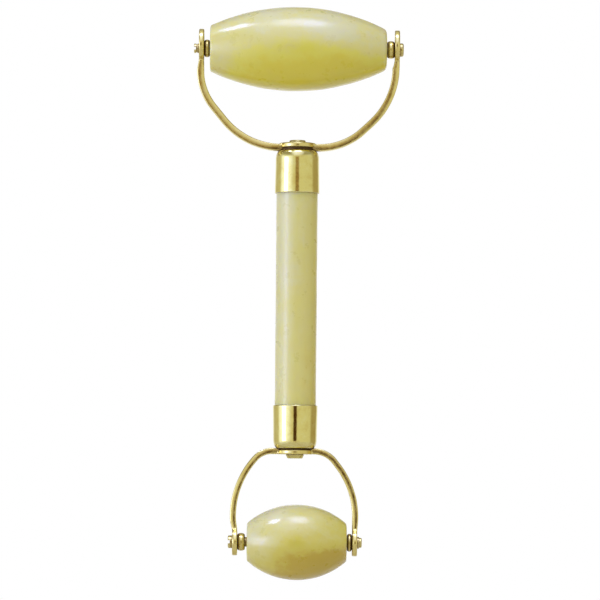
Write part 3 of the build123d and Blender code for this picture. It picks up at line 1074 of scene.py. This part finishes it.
def small_axle():
    """Rod with a slotted head on its left and a stepped, riveted end on its right."""
    head, tip = low("small_axle").x, high("small_axle").x
    left = -YOKES["small"]["left"][-1] - EAR_HALF
    right = YOKES["small"]["right"][-1] + EAR_HALF
    corners = [
        (head, 0, 0),
        (head, SLOTTED_HEAD_RADIUS, 0.3),
        (left, SLOTTED_HEAD_RADIUS, 0.08),
        (left, AXLE_RADIUS, 0),
        (right, AXLE_RADIUS, 0),
        (right, COLLAR_RADIUS, 0.06),
        (right + 0.55, COLLAR_RADIUS, 0.18),
        (right + 0.55, RIVETED_RADIUS, 0.04),
        (tip, RIVETED_RADIUS, 0.3),
        (tip, 0, 0),
    ]
    slotted_axle("small_axle", SMALL_AXLE_HEIGHT, corners, SMALL_SLOT_WIDTH)


# Spacer rings and bushes
SPACER_BORE = 1.25
SPACER_FACE = 1.9
SPACER_STEPS = 16
BUSH_BORE = 1.25
BUSH_ROUND = 0.08


def spacer(node, axle):
    a, b = low(node).x, high(node).x
    crown = high(node).y
    outline = [(a + 0.08, SPACER_BORE, 0.0), (a, SPACER_BORE + 0.08, 0.3), (a, SPACER_FACE - 0.25, 0.0)]
    outline += [(a, SPACER_FACE - 0.12, 0.5), (a + 0.04, SPACER_FACE - 0.03, 1.0)]
    # the crowned outside is an arc through both faces and the crown
    half, rise = (b - a) / 2, crown - SPACER_FACE
    radius = (half * half + rise * rise) / (2 * rise)
    reach = asin((half - 0.1) / radius)
    for k in range(SPACER_STEPS + 1):
        across = 2 * k / SPACER_STEPS - 1
        angle = reach * across
        along = (a + b) / 2 + radius * sin(angle)
        outline.append((along, crown - radius + radius * cos(angle), 0.7 * abs(across) ** 3))
    outline += [(b - 0.04, SPACER_FACE - 0.03, 1.0), (b, SPACER_FACE - 0.12, 0.5)]
    outline += [(b, SPACER_FACE - 0.25, 0.0), (b, SPACER_BORE + 0.08, 0.3), (b - 0.08, SPACER_BORE, 0.0)]
    bm = turned(outline, True, "X", Vector((0, 0, axle)))
    piece(node, bm, GOLD_TURNED_X)


def bush(node, axle):
    a, b = low(node).x, high(node).x
    outer = high(node).y
    corners = [(x, r, BUSH_ROUND) for x, r in ((a, BUSH_BORE), (a, outer), (b, outer), (b, BUSH_BORE))]
    outline = refined(rounded(corners, True), True, 2.0)
    piece(node, turned(outline, True, "X", Vector((0, 0, axle))), BRASS_BUSH)


handle_stone()
roller_stone("large", JADE_LARGE)
roller_stone("small", JADE_SMALL)
end_cap("large", 1)
end_cap("small", -1)
swivel("large", 1)
swivel("small", -1)
yoke("large", 1)
yoke("small", -1)
large_axle()
small_axle()
for end_name, end_axle in (("large", LARGE_AXLE_HEIGHT), ("small", SMALL_AXLE_HEIGHT)):
    for end_side in ("left", "right"):
        spacer(f"{end_name}_{end_side}_spacer", end_axle)
        bush(f"{end_name}_{end_side}_bush", end_axle)


# ---- Studio: an even pale room with soft boxes, painted in the world by direction
WHITE = (1.0, 1.0, 1.0)
SOFT_WHITE = (0.78, 0.76, 0.66)
# the lamps are cool, because the photograph's highlights on gold and jade are nearly white
COOL = (0.90, 1.0, 1.85)
LESS_COOL = (0.78, 0.87, 1.65)
# the room's colour round the walls: degrees from the camera's side, positive to the right
WALLS = (
    (-180, WHITE),
    (-152, (0.95, 0.95, 0.93)),
    (-138, (0.58, 0.54, 0.44)),
    (-105, (0.64, 0.61, 0.52)),
    (-88, (0.74, 0.76, 0.80)),
    (-30, (0.74, 0.76, 0.80)),
    (-15, SOFT_WHITE),
    (-9, (0.62, 0.57, 0.45)),
    (9, (0.62, 0.58, 0.46)),
    (13, (0.74, 0.73, 0.63)),
    (82, (0.70, 0.69, 0.60)),
    (96, (0.44, 0.37, 0.23)),
    (134, (0.42, 0.35, 0.21)),
    (150, (0.92, 0.92, 0.90)),
    (180, WHITE),
)
# round glows overhead: (direction, degrees where full, degrees where gone, strength)
GLOWS = (
    ((0.05, -0.30, 0.95), 6.0, 17.0, 3.2),
    ((-0.45, -0.15, 0.87), 4.0, 8.0, 10.0),
    ((0.0, -0.66, 0.75), 10.0, 36.0, 0.75),
)


def studio():
    world = bpy.data.worlds.new("studio")
    bpy.context.scene.world = world
    world.use_nodes = True
    tree = world.node_tree
    tree.nodes.clear()
    n = Nodes(tree)
    direction = n.add("ShaderNodeTexCoord").outputs["Generated"]
    split = n.add("ShaderNodeSeparateXYZ", None, Vector=direction)
    x, y, z = split.outputs
    # azimuth in degrees from the camera's side (-Y), positive to the right, and elevation
    azimuth = n.math("MULTIPLY", n.math("ARCTAN2", x, n.math("MULTIPLY", y, -1.0)), 180 / pi)
    elevation = n.math("MULTIPLY", n.math("ARCSINE", z), 180 / pi)

    def window(value, start, fade_in, fade_out, end):
        """1 from fade_in to fade_out, falling to 0 at start and end."""
        rise = n.smooth(value, start, fade_in)
        fall = n.smooth(value, fade_out, end, 1.0, 0.0)
        return n.math("MULTIPLY", rise, fall)

    def patch(azimuths, elevations):
        return n.math("MULTIPLY", window(azimuth, *azimuths), window(elevation, *elevations))

    def lit(mask, strength, colour):
        scaled = n.math("MULTIPLY", mask, strength)
        grey = n.add("ShaderNodeCombineXYZ", None, X=scaled, Y=scaled, Z=scaled).outputs[0]
        return n.mix(1.0, (*colour, 1.0), grey, "MULTIPLY")

    around = n.math("DIVIDE", n.math("ADD", azimuth, 180.0), 360.0)
    room = n.ramp(around, [((degrees + 180) / 360, colour) for degrees, colour in WALLS], "LINEAR")
    # the bands belong to the walls; above and below them the room is plain
    wall = window(elevation, -62.0, -42.0, 16.0, 34.0)
    ceiling = n.smooth(elevation, 40.0, 75.0)
    plain = n.mix(ceiling, (0.38, 0.36, 0.30, 1.0), (0.72, 0.72, 0.70, 1.0))
    colour = n.mix(wall, plain, room)
    # the brown gap straight in front, darkest near eye level
    gap = (-9.8, -6.6, 6.6, 9.8)
    colour = n.mix(patch(gap, (-14.0, -9.0, 9.0, 14.0)), colour, (0.42, 0.29, 0.15, 1.0))
    colour = n.mix(patch(gap, (-14.0, -8.0, 3.6, 7.0)), colour, (0.080, 0.038, 0.012, 1.0))
    # two brown cards high up behind the object
    to_back = window(n.math("ABSOLUTE", azimuth), 108.0, 120.0, 166.0, 176.0)
    cards = n.math("MULTIPLY", to_back, window(elevation, 10.0, 20.0, 50.0, 62.0))
    colour = n.mix(n.math("MULTIPLY", cards, 0.85), colour, (0.20, 0.13, 0.06, 1.0))

    # a wide soft lamp to the left of the camera, its bright core, and the glows overhead
    wide = patch((-102.0, -84.0, -44.0, -16.0), (-36.0, -16.0, 12.0, 24.0))
    core = patch((-76.0, -68.0, -55.0, -45.0), (-12.0, -5.0, 8.0, 15.0))
    lamps = [(wide, 0.60, LESS_COOL), (core, 2.1, COOL)]
    for aim, inner, outer, strength in GLOWS:
        toward = n.vector("DOT_PRODUCT", direction, Vector(aim).normalized())
        lamps.append((n.smooth(toward, cos(radians(outer)), cos(radians(inner))), strength, COOL))
    for mask, strength, tint in lamps:
        colour = n.mix(1.0, colour, lit(mask, strength, tint), "ADD")

    to_camera = n.add("ShaderNodeLightPath").outputs["Is Camera Ray"]
    colour = n.mix(to_camera, colour, (1.0, 1.0, 1.0, 1.0))
    background = n.add("ShaderNodeBackground", None, Color=colour, Strength=1.0)
    output = tree.nodes.new("ShaderNodeOutputWorld")
    tree.links.new(background.outputs[0], output.inputs[0])


# ---- Floor: pale, fading into the white room at its rim. Lengths in metres.
FLOOR_BELOW = 0.060
FLOOR_RADIUS = 0.6


def floor():
    material, n, shader = new_material("studio_floor")
    place = n.add("ShaderNodeTexCoord").outputs["Object"]
    mottle = n.noise(place, 9.0, 4.0, 0.6)
    n.set(shader, "Base Color", n.ramp(mottle, [(0.3, (0.67, 0.63, 0.45)), (0.7, (0.71, 0.67, 0.49))]))
    n.set(shader, "Roughness", n.smooth(mottle, 0.3, 0.7, 0.7, 0.85))
    n.set(shader, "Normal", n.bump(n.noise(place, 700.0, 3.0, 0.6), 0.05, 0.0002))
    flat = n.vector("MULTIPLY", place, (1.0, 1.0, 0.0))
    n.set(shader, "Alpha", n.smooth(n.vector("LENGTH", flat), 0.1 * FLOOR_RADIUS, FLOOR_RADIUS, 1.0, 0.0))
    bm = bmesh.new()
    bmesh.ops.create_circle(bm, cap_ends=True, radius=FLOOR_RADIUS, segments=96)
    mesh = bpy.data.meshes.new("studio_floor")
    bm.to_mesh(mesh)
    bm.free()
    mesh.materials.append(material)
    made = bpy.data.objects.new("studio_floor", mesh)
    made.location = (0.0, 0.0, cad_box[0][2] - FLOOR_BELOW)
    bpy.context.scene.collection.objects.link(made)


# ---- Camera: almost straight on, from slightly below, tilted half a degree
CAMERA_DISTANCE = 1.0
SENSOR_WIDTH = 36.0
LENS = 237.7
CAMERA_ELEVATION = radians(-3.0)
CAMERA_ROLL = radians(0.5)
AIM = Vector((0.00096, 0.0, -0.00015))


def camera():
    data = bpy.data.cameras.new("camera")
    data.sensor_width = SENSOR_WIDTH
    data.lens = LENS
    data.clip_start = 0.05
    data.clip_end = 20.0
    made = bpy.data.objects.new("camera", data)
    back = Vector((0.0, -cos(CAMERA_ELEVATION), sin(CAMERA_ELEVATION)))
    made.location = AIM + back * CAMERA_DISTANCE
    facing = (-back).to_track_quat("-Z", "Y").to_matrix().to_4x4()
    made.matrix_world = Matrix.Translation(made.location) @ facing @ Matrix.Rotation(CAMERA_ROLL, 4, "Z")
    bpy.context.scene.collection.objects.link(made)
    bpy.context.scene.camera = made


studio()
floor()
camera()
bpy.context.scene.view_settings.view_transform = "Standard"
